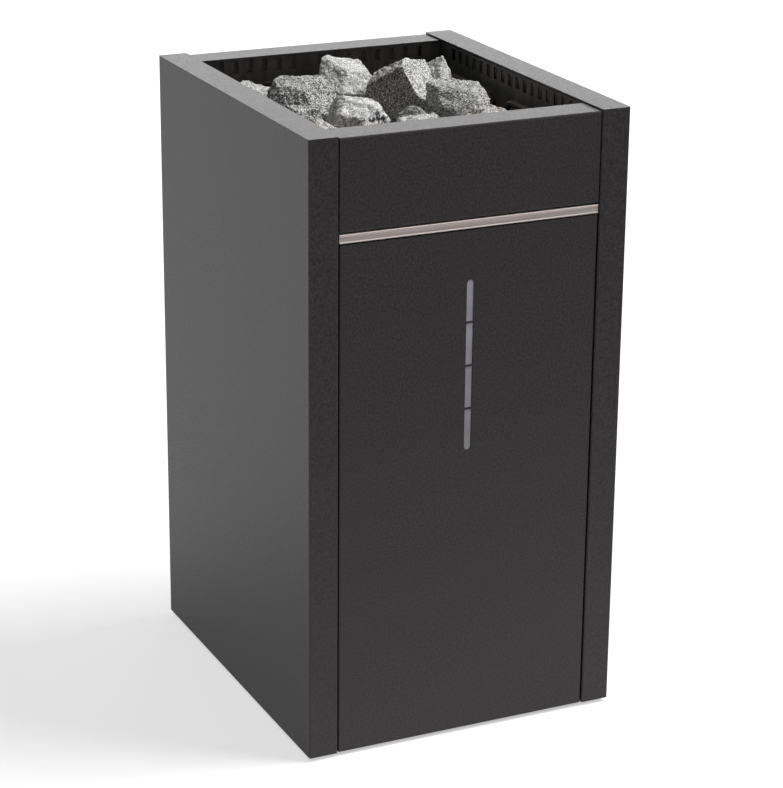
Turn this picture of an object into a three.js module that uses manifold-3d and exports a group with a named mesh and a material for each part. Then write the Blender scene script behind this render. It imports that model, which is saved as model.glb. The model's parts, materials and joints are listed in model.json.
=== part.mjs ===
// Free-standing electric sauna heater with a stone-filled open top and a hinged front door.
// Millimetres, +Z up, the front faces -Y, the floor is Z = 0, and X = Y = 0 is the plan centre.
import * as THREE from 'three';
import { ConvexGeometry } from 'three/addons/geometries/ConvexGeometry.js';
import { mergeVertices } from 'three/addons/utils/BufferGeometryUtils.js';
import Module from 'manifold-3d';

const wasm = await Module();
wasm.setup();

// Driving dimensions of the casing
const overallWidth = 400;
const overallDepth = 465;
const overallHeight = 750;
const casingLift = 5; // lower edge of the casing above the floor
const casingSheet = 1.5;
const bendRadius = 2; // outside radius of the folded edges
const sidePanelWidth = 36; // width of a side panel's front, rear and top flanges
const sidePanelLip = 18; // fold behind the front and rear flanges
const panelJoint = 1.5; // gap between a side panel and its neighbours
const topStep = 2; // the front and rear rims lie this far below the side panels
const frontRecess = 1.2; // front face of fascia and door behind the side panels' edges
const rearRecess = 1.5;
const frontRimDepth = 44; // depth of the front rim of the opening
const rearRimDepth = 42;
const panelReturn = 16; // folded edge of the door and the rear panel
const contactGap = 0.3; // gap kept between pieces that touch
const bendSteps = 2;

// Driving dimensions of the front
const fasciaHeight = 107.3;
const stripHeight = 11;
const stripDepth = 12;
const stripChamfer = 1;
const stripLip = 1.6; // height of the lips along the strip's upper and lower edges
const stripGroove = 0.8; // strip's face behind its lips
const stripGapAbove = 2;
const stripGapBelow = 1;
const doorFloorGap = 0.4; // door's lower edge above the side panels' lower edge
const railSheet = 2;
const railHeight = 36;
const windowWidth = 9; // light window in the door
const windowSegments = 4;
const windowSegmentHeight = 50.2;
const windowBridge = 2;
const windowBelowDoorTop = 58.2;

// Driving dimensions of the stone space
const linerSheet = 1.2;
const linerSetback = 2.5; // liner's inner face behind the rim's edge
const linerTopGap = 0.5; // liner's upper edge below the rim
const slotWidth = 9;
const slotHeight = 15;
const slotPitch = 19.25;
const slotMargin = 30; // from a liner wall's end to its first slot's centre
const slotTopEdge = 3; // from the liner's upper edge to the slots
const grateTop = 306;
const grateThickness = 8;
const grateBar = 8;
const grateRows = 11;
const grateColumns = 2;
const linerBelowGrate = 6;
const airGap = 11; // between the liner and the inner plates
const plateSheet = 1.2; // inner plates
const plateBelowRim = 4; // inner plates' upper edges below the liner's
const frontPlateBottom = 232;
const rearPlateBottom = 200;

// Driving dimensions of the heating elements
const elementRadius = 4;
const elementBend = 20;
const elementBelowLiner = 31; // centre of the top runs below the liner's upper edge
const elementLoopBottom = 345; // centre of the lower bend
const elementLegHalf = 15; // half the spacing of the inner legs
const elementFromLiner = 14; // tube centre to liner
const sideElementHalfSpan = 145;
const rearElementHalfSpan = 118;
const elementSides = 8;
const elementBendSteps = 3;
const barBottom = 250;
const barThickness = 3;
const barWidth = 30;
const collarRadius = 8;
const collarHeight = 8;
const threadRadius = 5.6;
const threadLength = 17;
const threadClearance = 0.4;
const pinRadius = 2.2;
const pinLength = 14;
const railLegHeight = 12; // grate rails, which are angles
const railLegWidth = 14;
const railThickness = 2;
const railInset = 50.5; // from the grate's end to its rail

// Driving dimensions of the base and the feet
const baseSheet = 2;
const baseSideGap = 2.5;
const baseRearOverhang = 5;
const footPadRadius = 16;
const footPadHeight = 6.7;
const footPadChamfer = 1.5;
const footStudRadius = 4;
const footStudTop = 42;
const footThreadClearance = 0.4;
const footSideInset = 60;
const footFrontInset = 55;
const weldNutRadius = 8;
const weldNutHeight = 8;
const baseSlotWidth = 6;
const baseSlotLength = 70;
const baseSlotPitch = 18;
const baseSlotCount = 11;
const baseSlotRow = 45; // centre of the front and the rear row of slots from the middle
const footSides = 12;

// Driving dimensions of the door's fittings
const hingeFromEdge = 16; // hinge axis from the door's right edge
const hingeBehindFace = 6; // hinge axis behind the door's front face
const hingeEyeRadius = 4;
const hingePinRadius = 2;
const hingeHoleRadius = 2.3;
const hingeHeadRadius = 3.4;
const hingeHeadHeight = 2;
const hingeTail = 5; // pin below the bracket's arm
const armThickness = 3;
const tabThickness = 3;
const tabHalfWidth = 7;
const tabReach = 5; // tab behind the hinge axis
const hingeGap = 0.6; // bracket's arm to the door's tab
const lowerArmZ = 40;
const upperArmBelowTop = 32.5;
const notchMargin = 6; // notch in the door's fold above and below a hinge
const bracketWidth = 24;
const bracketFromAxis = 22; // bracket's near edge to the hinge axis
const bracketSheet = 2;
const bracketFlangeHeight = 34;
const bracketFootLength = 20;
const magnetWidth = 22;
const magnetHeight = 22;
const magnetFromEdge = 14;
const magnetBelowTop = 46;
const magnetGap = 0.5;
const diffuserWidth = 18;
const diffuserThickness = 4;
const diffuserEnd = 8; // diffuser beyond the window above and below
const diffuserSink = 0.8; // diffuser's face behind the door's face
const housingWidth = 30;
const housingDepth = 14.5;
const housingWall = 1.5;
const housingEnd = 16; // housing beyond the window above and below
const boardWidth = 14;
const boardThickness = 1.6;
const lampSize = 3.5;
const lampHeight = 1;
const lampPitch = 17.5;

// Driving dimensions of the connection box
const boxFootGap = 7; // box to the front left foot's nut
const boxBracketGap = 15; // box to the lower hinge bracket
const boxDepth = 105;
const boxHeight = 140;
const boxWall = 1.2;
const boxBehindPlate = 8; // box's front behind the front inner plate
const coverSheet = 1.2;
const blockLength = 90;
const blockDepth = 32;
const blockHeight = 28;
const blockFromSide = 10;
const blockFromFront = 55;
const poleCount = 6;
const poleWell = 9;
const poleWellDepth = 12;
const limiterFromSide = 35; // limiter's middle from the box's right side
const limiterSize = 36;
const limiterDepth = 32;
const limiterBottom = 62;
const neckRadius = 5;
const neckLength = 7.5;
const neckClearance = 0.6;
const buttonRadius = 3;
const buttonClearance = 0.4;
const buttonLength = 9.5;
const buttonReach = 4; // button's end beyond the neck
const boreBehindNeck = 3; // bore's end behind the limiter's face
const buttonSides = 12;
const capillaryRadius = 1.2;
const capillaryBend = 12;
const capillaryTurnZ = 200;
const capillaryFromFront = 20;
const capillaryHole = 3;
const bulbRadius = 3;
const bulbLength = 80;
const bulbBelowPlate = 97;
const glandFromSide = 55; // gland's middle from the box's left side
const glandZ = 45;
const glandBore = 7;
const glandThread = 9;
const glandFlange = 14;
const glandNut = 12;
const glandLength = 18;
const glandNutLength = 5;
const roundSides = 16;
const grommetHole = 14;
const grommetBore = 9;
const grommetFlange = 18;
const grommetOutside = 1.2; // flange outside the rear panel
const grommetInside = 2.5;
const ventWidth = 6;
const ventHeight = 70;
const ventPitch = 24;
const ventCount = 9;
const ventBottom = 90;

// Driving dimensions of the stones
const cageGap = 3; // stones to the heating elements
const stoneClearance = 0.6; // between stones that rest on each other
const stoneWallGap = 4; // front row of stones to the liner
const stoneLength = 100; // longest top stone
const rockFacets = 13;
const rockRoughness = 0.3; // spread of the facets' distances from the middle
const rockTilt = 0.5; // spread of the facets' directions
const heapStone = 84;
const heapPitch = 62;
const heapBelowRim = 103; // centres of the heap's upper stones below the rim
const heapJitter = 9;
const heapCoreInset = 30; // buried middle of the heap from its stones' edges
const heapCoreSink = 18; // heap's buried middle below its upper stones' centres
const dropHeight = 1200;

// Planes worked out from the driving dimensions
const halfWidth = overallWidth / 2;
const halfDepth = overallDepth / 2;
const frontPlane = -halfDepth + frontRecess;
const rearPlane = halfDepth - rearRecess;
const openingHalfWidth = halfWidth - sidePanelWidth;
const openingFront = frontPlane + frontRimDepth;
const openingRear = rearPlane - rearRimDepth;
const panelHalfWidth = openingHalfWidth - panelJoint;
const panelBottom = casingLift + doorFloorGap;
const rimTop = overallHeight - topStep;
const fasciaBottom = rimTop - fasciaHeight;
const stripTop = fasciaBottom - stripGapAbove;
const stripBottom = stripTop - stripHeight;
const doorTop = stripBottom - stripGapBelow;
const linerHalfWidth = openingHalfWidth + linerSetback;
const linerFront = openingFront - linerSetback;
const linerRear = openingRear + linerSetback;
const linerTop = rimTop - casingSheet - linerTopGap;
const linerBottom = grateTop - linerBelowGrate;
const elementTop = linerTop - elementBelowLiner;
const plateHalfWidth = linerHalfWidth + linerSheet + airGap;
const plateFront = linerFront - linerSheet - airGap;
const plateRear = linerRear + linerSheet + airGap;
const plateTop = linerTop - plateBelowRim;
const plateFace = plateFront - plateSheet - contactGap; // fittings stand on the front inner plate here
const baseBottom = footPadHeight + contactGap;
const baseTop = baseBottom + baseSheet;
const standing = baseTop + contactGap; // lower end of what stands on the base plate
const sideElementX = linerHalfWidth - elementFromLiner;
const rearElementY = linerRear - elementFromLiner;
const barTop = barBottom + barThickness;
const rearBarBottom = barTop + contactGap;
const cageHalfWidth = sideElementX - elementRadius - cageGap;
const cageFront = linerFront + stoneWallGap;
const cageRear = rearElementY - elementRadius - cageGap;
const hingeX = panelHalfWidth - hingeFromEdge;
const hingeY = frontPlane + hingeBehindFace;
const upperArmZ = doorTop - upperArmBelowTop;
const windowTop = doorTop - windowBelowDoorTop;
const windowPitch = windowSegmentHeight + windowBridge;
const windowBottom = windowTop - windowSegments * windowPitch + windowBridge;
const boxFront = plateFront + boxBehindPlate;
const boxBottom = standing;
const boxTop = boxBottom + boxHeight;
const footX = halfWidth - footSideInset;
const bracketNear = hingeX - bracketFromAxis;
const bracketFar = bracketNear - bracketWidth;
const boxLeft = -footX + weldNutRadius + boxFootGap;
const boxRight = bracketFar - boxBracketGap;
const boxRear = boxFront + boxDepth;
const limiterX = boxRight - limiterFromSide;
const limiterFront = boxFront + boxWall;
const glandX = boxLeft + glandFromSide;
const bulbTop = plateTop - bulbBelowPlate;
const bulbBottom = bulbTop - bulbLength;
const heapLayer = rimTop - heapBelowRim;
const heapCoreTop = heapLayer - heapCoreSink;
const railX = cageHalfWidth - railInset;

// Helpers that turn three.js geometry into solids, and join and cut them
const weldDistance = 1e-4;
const degree = Math.PI / 180;

function solidOf(geometry) {
  const bare = geometry.clone();
  bare.deleteAttribute('normal');
  bare.deleteAttribute('uv');
  const welded = mergeVertices(bare, weldDistance);
  const mesh = new wasm.Mesh({
    numProp: 3,
    vertProperties: new Float32Array(welded.attributes.position.array),
    triVerts: new Uint32Array(welded.index.array),
  });
  return new wasm.Manifold(mesh);
}

function geometryOf(solid) {
  const mesh = solid.getMesh();
  const geometry = new THREE.BufferGeometry();
  const positions = new Float32Array(mesh.vertProperties);
  geometry.setAttribute('position', new THREE.BufferAttribute(positions, 3));
  geometry.setIndex(new THREE.BufferAttribute(new Uint32Array(mesh.triVerts), 1));
  return geometry;
}

function join(first, ...others) {
  return others.reduce((sum, solid) => sum.add(solid), first);
}

function cut(first, ...tools) {
  return tools.reduce((rest, solid) => rest.subtract(solid), first);
}

// Helpers for flat outlines
function at(x, y) {
  return new THREE.Vector2(x, y);
}

function rectangle(x0, x1, y0, y1) {
  return new THREE.Shape([at(x0, y0), at(x1, y0), at(x1, y1), at(x0, y1)]);
}

function roundedRectangle(x0, x1, y0, y1, radius) {
  const shape = new THREE.Shape();
  shape.absarc(x1 - radius, y0 + radius, radius, -Math.PI / 2, 0, false);
  shape.absarc(x1 - radius, y1 - radius, radius, 0, Math.PI / 2, false);
  shape.absarc(x0 + radius, y1 - radius, radius, Math.PI / 2, Math.PI, false);
  shape.absarc(x0 + radius, y0 + radius, radius, Math.PI, 1.5 * Math.PI, false);
  shape.closePath();
  return shape;
}

function ringPoints(x, y, radius, sides) {
  const points = [];
  for (let i = 0; i < sides; i += 1) {
    const angle = (2 * Math.PI * (i + 0.5)) / sides;
    points.push(at(x + radius * Math.cos(angle), y + radius * Math.sin(angle)));
  }
  return points;
}

// Helpers for solids that stand along one axis
function extruded(shape, depth) {
  return new THREE.ExtrudeGeometry(shape, { depth, bevelEnabled: false, curveSegments: bendSteps });
}

function upright(shape, z0, z1) {
  return solidOf(extruded(shape, z1 - z0).translate(0, 0, z0));
}

// The outline's axes are X and Z.
function acrossDepth(shape, y0, y1) {
  const geometry = extruded(shape, y1 - y0).rotateX(Math.PI / 2);
  return solidOf(geometry.translate(0, y1, 0));
}

// The outline's axes are Y and Z.
function acrossWidth(shape, x0, x1) {
  const turn = new THREE.Matrix4().makeBasis(
    new THREE.Vector3(0, 1, 0),
    new THREE.Vector3(0, 0, 1),
    new THREE.Vector3(1, 0, 0),
  );
  const geometry = extruded(shape, x1 - x0).applyMatrix4(turn);
  return solidOf(geometry.translate(x0, 0, 0));
}

function block(x0, x1, y0, y1, z0, z1) {
  const geometry = new THREE.BoxGeometry(x1 - x0, y1 - y0, z1 - z0);
  return solidOf(geometry.translate((x0 + x1) / 2, (y0 + y1) / 2, (z0 + z1) / 2));
}

function post(x, y, radius, z0, z1, sides) {
  return upright(new THREE.Shape(ringPoints(x, y, radius, sides)), z0, z1);
}

function pegAlongDepth(x, z, radius, y0, y1, sides) {
  return acrossDepth(new THREE.Shape(ringPoints(x, z, radius, sides)), y0, y1);
}

// A profile of radius and height turned round the Z axis.
function turned(profile, sides) {
  return new THREE.LatheGeometry(profile, sides).rotateX(Math.PI / 2);
}

// A path through stations that need not be evenly spaced.
class WirePath extends THREE.Curve {
  constructor(stations) {
    super();
    this.stations = stations;
  }

  index(share) {
    return Math.round(share * (this.stations.length - 1));
  }

  getPointAt(share, target = new THREE.Vector3()) {
    return target.copy(this.stations[this.index(share)]);
  }

  getTangentAt(share, target = new THREE.Vector3()) {
    const index = this.index(share);
    const before = this.stations[Math.max(index - 1, 0)];
    const after = this.stations[Math.min(index + 1, this.stations.length - 1)];
    return target.subVectors(after, before).normalize();
  }
}

// Stations along straight runs between corners, with round bends at the corners.
function wireStations(corners, radius, steps) {
  const stations = [corners[0]];
  for (let i = 1; i < corners.length - 1; i += 1) {
    const incoming = corners[i].clone().sub(corners[i - 1]).normalize();
    const outgoing = corners[i + 1].clone().sub(corners[i]).normalize();
    const turn = incoming.angleTo(outgoing);
    const side = outgoing.clone().addScaledVector(incoming, -incoming.dot(outgoing)).normalize();
    const start = corners[i].clone().addScaledVector(incoming, -radius * Math.tan(turn / 2));
    for (let k = 0; k <= steps; k += 1) {
      const angle = (turn * k) / steps;
      const station = start.clone().addScaledVector(incoming, radius * Math.sin(angle));
      stations.push(station.addScaledVector(side, radius * (1 - Math.cos(angle))));
    }
  }
  stations.push(corners[corners.length - 1]);
  return stations;
}

function tube(stations, radius, sides) {
  const section = new THREE.Shape(ringPoints(0, 0, radius, sides));
  const extrudePath = new WirePath(stations);
  const options = { steps: stations.length - 1, extrudePath, bevelEnabled: false };
  return solidOf(new THREE.ExtrudeGeometry(section, options));
}

// Casing
function sidePanel(side) {
  const outer = side * halfWidth;
  const inner = side * openingHalfWidth;
  const x0 = Math.min(outer, inner);
  const x1 = Math.max(outer, inner);
  const outline = roundedRectangle(x0, x1, -halfDepth, halfDepth, bendRadius);
  const hollowOuter = outer - side * casingSheet;
  const hollowInner = inner + side * casingSheet;
  const beyond = inner - side * casingSheet;
  const hollowHalf = halfDepth - casingSheet;
  const mouthHalf = halfDepth - sidePanelLip;
  const hollow = new THREE.Shape([
    at(hollowOuter, -hollowHalf),
    at(hollowInner, -hollowHalf),
    at(hollowInner, -mouthHalf),
    at(beyond, -mouthHalf),
    at(beyond, mouthHalf),
    at(hollowInner, mouthHalf),
    at(hollowInner, hollowHalf),
    at(hollowOuter, hollowHalf),
  ]);
  const pocket = upright(hollow, casingLift + casingSheet, overallHeight - casingSheet);
  return cut(upright(outline, casingLift, overallHeight), pocket);
}

// A panel between the side panels: a face at one end of its depth, folds behind it, and a rim on top.
// The folds end at foldEnd, and the rim at rimEnd.
function rimmedPanel(face, foldEnd, rimEnd, bottom) {
  const inward = Math.sign(rimEnd - face);
  const outline = roundedRectangle(
    Math.min(face, rimEnd + inward * bendRadius),
    Math.max(face, rimEnd + inward * bendRadius),
    bottom,
    rimTop,
    bendRadius,
  );
  const full = acrossWidth(outline, -panelHalfWidth, panelHalfWidth);
  const beyondRim = rimEnd + 2 * inward * bendRadius;
  const wide = panelHalfWidth + casingSheet;
  const under = rimTop - casingSheet;
  const span = (a, b) => [Math.min(a, b), Math.max(a, b)];
  const narrow = panelHalfWidth - casingSheet;
  const inside = face + inward * casingSheet;
  const behindFolds = foldEnd + inward * casingSheet;
  const pocketTop = under - casingSheet;
  const rimTrim = block(-wide, wide, ...span(rimEnd, beyondRim), bottom - 1, rimTop + 1);
  const underRim = block(-wide, wide, ...span(foldEnd, beyondRim), bottom - 1, under);
  const pocket = block(-narrow, narrow, ...span(inside, behindFolds), bottom + casingSheet, pocketTop);
  return cut(full, rimTrim, underRim, pocket);
}

function frontFascia() {
  return rimmedPanel(frontPlane, frontPlane + stripDepth, openingFront, fasciaBottom);
}

function rearPanel() {
  const shell = rimmedPanel(rearPlane, rearPlane - panelReturn, openingRear, panelBottom);
  const y0 = rearPlane - 2 * casingSheet;
  const y1 = rearPlane + casingSheet;
  const openings = [pegAlongDepth(glandX, glandZ, grommetHole, y0, y1, roundSides)];
  for (let i = 0; i < ventCount; i += 1) {
    const x = (i - (ventCount - 1) / 2) * ventPitch;
    const vent = rectangle(x - ventWidth / 2, x + ventWidth / 2, ventBottom, ventBottom + ventHeight);
    openings.push(acrossDepth(vent, y0, y1));
  }
  return cut(shell, ...openings);
}

function cableGrommet() {
  const outside = rearPlane + contactGap + grommetOutside;
  const inside = rearPlane - casingSheet - contactGap - grommetInside;
  const groove = grommetHole - contactGap;
  const profile = [
    at(grommetBore, 0),
    at(grommetFlange, 0),
    at(grommetFlange, grommetInside),
    at(groove, grommetInside),
    at(groove, outside - inside - grommetOutside),
    at(grommetFlange, outside - inside - grommetOutside),
    at(grommetFlange, outside - inside),
    at(grommetBore, outside - inside),
    at(grommetBore, 0),
  ];
  const ring = turned(profile, roundSides).rotateX(-Math.PI / 2);
  return solidOf(ring.translate(glandX, inside, glandZ));
}

// A strip with a shallow groove along its face, between two lips with sloping sides.
function trimStrip() {
  const rear = frontPlane + stripDepth - contactGap;
  const face = frontPlane + stripGroove;
  const profile = new THREE.Shape([
    at(rear, stripBottom),
    at(rear, stripTop),
    at(frontPlane + stripChamfer, stripTop),
    at(frontPlane, stripTop - stripChamfer),
    at(frontPlane, stripTop - stripLip),
    at(face, stripTop - stripLip - stripGroove),
    at(face, stripBottom + stripLip + stripGroove),
    at(frontPlane, stripBottom + stripLip),
    at(frontPlane, stripBottom + stripChamfer),
    at(frontPlane + stripChamfer, stripBottom),
  ]);
  return acrossWidth(profile, -panelHalfWidth, panelHalfWidth);
}

function frontRail() {
  const front = frontPlane + stripDepth;
  const rear = plateFace;
  const half = openingHalfWidth - contactGap;
  const top = stripBottom + railHeight;
  const web = block(-half, half, front + contactGap, front + contactGap + railSheet, stripBottom, top);
  const shelf = block(-half, half, front + contactGap, rear, top - railSheet, top);
  return join(web, shelf);
}

// Door and its light
function windowOutline(segment, inset) {
  const bottom = windowTop - segment * windowPitch - windowSegmentHeight;
  const half = windowWidth / 2 - inset;
  const z0 = bottom + inset;
  const z1 = bottom + windowSegmentHeight - inset;
  const outline = new THREE.Shape();
  if (segment === windowSegments - 1) {
    outline.absarc(0, z0 + half, half, Math.PI, 2 * Math.PI, false);
  } else {
    outline.moveTo(-half, z0);
    outline.lineTo(half, z0);
  }
  if (segment === 0) {
    outline.absarc(0, z1 - half, half, 0, Math.PI, false);
  } else {
    outline.lineTo(half, z1);
    outline.lineTo(-half, z1);
  }
  outline.closePath();
  return outline;
}

function hingeTab(armZ) {
  const z0 = armZ + armThickness + hingeGap;
  const front = frontPlane + casingSheet / 2;
  const left = hingeX - tabHalfWidth;
  return block(left, hingeX + tabHalfWidth, front, hingeY + tabReach, z0, z0 + tabThickness);
}

function frontDoor() {
  const foldEnd = frontPlane + panelReturn;
  const beyond = foldEnd + bendRadius;
  const outline = roundedRectangle(-panelHalfWidth, panelHalfWidth, frontPlane, beyond, bendRadius);
  const narrow = panelHalfWidth - casingSheet;
  const wide = panelHalfWidth + casingSheet;
  const inside = frontPlane + casingSheet;
  const hollow = new THREE.Shape([
    at(-narrow, inside),
    at(narrow, inside),
    at(narrow, beyond + casingSheet),
    at(-narrow, beyond + casingSheet),
  ]);
  const pocket = upright(hollow, panelBottom + casingSheet, doorTop - casingSheet);
  const trim = block(-wide, wide, foldEnd, beyond + casingSheet, panelBottom - 1, doorTop + 1);
  const shell = cut(upright(outline, panelBottom, doorTop), trim, pocket);
  const pan = join(shell, hingeTab(lowerArmZ), hingeTab(upperArmZ));
  const tools = [];
  for (let i = 0; i < windowSegments; i += 1) {
    const y0 = frontPlane - casingSheet;
    tools.push(acrossDepth(windowOutline(i, 0), y0, frontPlane + 2 * casingSheet));
  }
  for (const armZ of [lowerArmZ, upperArmZ]) {
    const z0 = armZ - notchMargin;
    const z1 = armZ + armThickness + hingeGap + tabThickness + notchMargin;
    tools.push(post(hingeX, hingeY, hingeHoleRadius, z0, z1, footSides));
    const x0 = panelHalfWidth - 2 * casingSheet;
    const notchFront = frontPlane + bendRadius;
    tools.push(block(x0, panelHalfWidth + casingSheet, notchFront, foldEnd + casingSheet, z0, z1));
  }
  return cut(pan, ...tools);
}

function lightDiffuser() {
  const rearOfSheet = frontPlane + casingSheet + contactGap;
  const half = diffuserWidth / 2;
  const z0 = windowBottom - diffuserEnd;
  const z1 = windowTop + diffuserEnd;
  const plate = block(-half, half, rearOfSheet, rearOfSheet + diffuserThickness, z0, z1);
  const noses = [];
  for (let i = 0; i < windowSegments; i += 1) {
    const rear = rearOfSheet + diffuserThickness / 2;
    noses.push(acrossDepth(windowOutline(i, contactGap), frontPlane + diffuserSink, rear));
  }
  return join(plate, ...noses);
}

function lightHousing() {
  const half = housingWidth / 2;
  const z0 = windowBottom - housingEnd;
  const z1 = windowTop + housingEnd;
  const front = plateFace - housingDepth;
  const rear = plateFace - housingWall;
  const outside = block(-half, half, front, plateFace, z0, z1);
  const inside = block(
    -half + housingWall,
    half - housingWall,
    front - housingWall,
    rear,
    z0 + housingWall,
    z1 - housingWall,
  );
  return cut(outside, inside);
}

function lightBoard() {
  const half = boardWidth / 2;
  const rear = plateFace - housingWall - contactGap;
  const front = rear - boardThickness;
  const board = block(-half, half, front, rear, windowBottom, windowTop);
  const count = Math.floor((windowTop - windowBottom - lampPitch) / lampPitch) + 1;
  const lamps = [];
  for (let i = 0; i < count; i += 1) {
    const z = (windowTop + windowBottom) / 2 + (i - (count - 1) / 2) * lampPitch;
    const size = lampSize / 2;
    const rearOfLamp = front + boardThickness / 2;
    lamps.push(block(-size, size, front - lampHeight, rearOfLamp, z - size, z + size));
  }
  return join(board, ...lamps);
}

// The arm's outline runs from the bracket's flange to a round eye on the hinge axis.
function bracketArm(rear, z0) {
  const outline = new THREE.Shape();
  outline.moveTo(bracketNear, rear);
  outline.lineTo(bracketFar, rear);
  const eyeStart = -0.75 * Math.PI;
  outline.absarc(hingeX, hingeY, hingeEyeRadius, eyeStart, eyeStart + 1.25 * Math.PI, false);
  outline.closePath();
  const hole = ringPoints(hingeX, hingeY, hingeHoleRadius, footSides).reverse();
  outline.holes.push(new THREE.Path(hole));
  return upright(outline, z0, z0 + armThickness);
}

function upperHingeBracket() {
  const half = bracketFlangeHeight / 2;
  const front = plateFace - bracketSheet;
  const flange = block(bracketFar, bracketNear, front, plateFace, upperArmZ - half, upperArmZ + half);
  return join(flange, bracketArm(plateFace - bracketSheet / 2, upperArmZ));
}

function lowerHingeBracket() {
  const front = plateFront + contactGap;
  const rear = front + bracketSheet;
  const leg = block(bracketFar, bracketNear, front, rear, standing, lowerArmZ + armThickness);
  const footEnd = front + bracketFootLength;
  const foot = block(bracketFar, bracketNear, front, footEnd, standing, standing + bracketSheet);
  return join(leg, foot, bracketArm(front + bracketSheet / 2, lowerArmZ));
}

function hingePin(armZ) {
  const tabTop = armZ + armThickness + hingeGap + tabThickness;
  const headBottom = tabTop + contactGap;
  const shank = post(hingeX, hingeY, hingePinRadius, armZ - hingeTail, headBottom + 1, footSides);
  const head = post(hingeX, hingeY, hingeHeadRadius, headBottom, headBottom + hingeHeadHeight, footSides);
  return join(shank, head);
}

function catchMagnet() {
  const x0 = -panelHalfWidth + magnetFromEdge;
  const z1 = doorTop - magnetBelowTop;
  const front = frontPlane + casingSheet + magnetGap;
  return block(x0, x0 + magnetWidth, front, plateFace, z1 - magnetHeight, z1);
}

// Base plate and feet
function footPlaces() {
  const y = halfDepth - footFrontInset;
  return [at(-footX, -y), at(footX, -y), at(-footX, y), at(footX, y)];
}

function basePlate() {
  const half = halfWidth - casingSheet - baseSideGap;
  const rear = plateRear + plateSheet + baseRearOverhang;
  const sheet = block(-half, half, plateFront, rear, baseBottom, baseTop);
  const nuts = [];
  const openings = [];
  for (const place of footPlaces()) {
    const nutBottom = baseBottom + baseSheet / 2;
    const nutTop = baseTop + weldNutHeight;
    const boreRadius = footStudRadius + footThreadClearance;
    nuts.push(post(place.x, place.y, weldNutRadius, nutBottom, nutTop, 6));
    openings.push(post(place.x, place.y, boreRadius, baseBottom - 1, nutTop + 1, footSides));
  }
  for (const row of [-baseSlotRow, baseSlotRow]) {
    for (let i = 0; i < baseSlotCount; i += 1) {
      const x0 = (i - (baseSlotCount - 1) / 2) * baseSlotPitch - baseSlotWidth / 2;
      const y0 = row - baseSlotLength / 2;
      const y1 = y0 + baseSlotLength;
      openings.push(block(x0, x0 + baseSlotWidth, y0, y1, baseBottom - 1, baseTop + 1));
    }
  }
  return cut(join(sheet, ...nuts), ...openings);
}

function levellingFoot(place) {
  const profile = [
    at(0, 0),
    at(footPadRadius - footPadChamfer, 0),
    at(footPadRadius, footPadChamfer),
    at(footPadRadius, footPadHeight),
    at(footStudRadius, footPadHeight),
    at(footStudRadius, footStudTop),
    at(0, footStudTop),
  ];
  return solidOf(turned(profile, footSides).translate(place.x, place.y, 0));
}

// Inner plates and the slotted liner
function plateBetween(x0, x1, y0, y1, z0) {
  return block(x0, x1, y0, y1, z0, plateTop);
}

function frontInnerPlate() {
  const half = plateHalfWidth + plateSheet;
  return plateBetween(-half, half, plateFront - plateSheet, plateFront, frontPlateBottom);
}

function rearInnerPlate() {
  const half = plateHalfWidth + plateSheet;
  return plateBetween(-half, half, plateRear, plateRear + plateSheet, rearPlateBottom);
}

function sideInnerPlate(side) {
  const inner = side * plateHalfWidth;
  const outer = side * (plateHalfWidth + plateSheet);
  const y0 = plateFront + contactGap;
  const y1 = plateRear - contactGap;
  return plateBetween(Math.min(inner, outer), Math.max(inner, outer), y0, y1, standing);
}

// Left edges of the slots in a wall that runs between two ends.
function slotEdges(from, to) {
  const count = Math.floor((to - from - 2 * slotMargin) / slotPitch) + 1;
  const edges = [];
  for (let i = 0; i < count; i += 1) {
    edges.push((from + to - slotWidth) / 2 + (i - (count - 1) / 2) * slotPitch);
  }
  return edges;
}

function linerAcross(y0) {
  const half = linerHalfWidth + linerSheet;
  const y1 = y0 + linerSheet;
  const wall = block(-half, half, y0, y1, linerBottom, linerTop);
  const z1 = linerTop - slotTopEdge;
  const slots = slotEdges(-half, half).map((x0) => {
    return block(x0, x0 + slotWidth, y0 - 1, y1 + 1, z1 - slotHeight, z1);
  });
  return cut(wall, ...slots);
}

function linerAlong(x0) {
  const front = linerFront + contactGap;
  const rear = linerRear - contactGap;
  const x1 = x0 + linerSheet;
  const wall = block(x0, x1, front, rear, linerBottom, linerTop);
  const z1 = linerTop - slotTopEdge;
  const slots = slotEdges(front, rear).map((y0) => {
    return block(x0 - 1, x1 + 1, y0, y0 + slotWidth, z1 - slotHeight, z1);
  });
  return cut(wall, ...slots);
}

// Grate and its rails
function stoneGrate() {
  const z0 = grateTop - grateThickness;
  const slab = block(-cageHalfWidth, cageHalfWidth, cageFront, cageRear, z0, grateTop);
  const cellWidth = (2 * cageHalfWidth - grateBar) / grateColumns;
  const cellDepth = (cageRear - cageFront - grateBar) / grateRows;
  const cells = [];
  for (let column = 0; column < grateColumns; column += 1) {
    for (let row = 0; row < grateRows; row += 1) {
      const x0 = -cageHalfWidth + grateBar + column * cellWidth;
      const y0 = cageFront + grateBar + row * cellDepth;
      const x1 = x0 + cellWidth - grateBar;
      cells.push(block(x0, x1, y0, y0 + cellDepth - grateBar, z0 - 1, grateTop + 1));
    }
  }
  return cut(slab, ...cells);
}

function grateRail(side) {
  const top = grateTop - grateThickness - contactGap;
  const bottom = top - railLegHeight;
  const x0 = side * railX;
  const xLeg = side * (railX + railThickness);
  const xShelf = side * (railX + railLegWidth);
  const y0 = plateFront + contactGap;
  const y1 = plateRear - contactGap;
  const leg = block(Math.min(x0, xLeg), Math.max(x0, xLeg), y0, y1, bottom, top);
  const z0 = top - railThickness;
  const shelf = block(Math.min(x0, xShelf), Math.max(x0, xShelf), y0, y1, z0, top);
  return join(leg, shelf);
}

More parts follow.
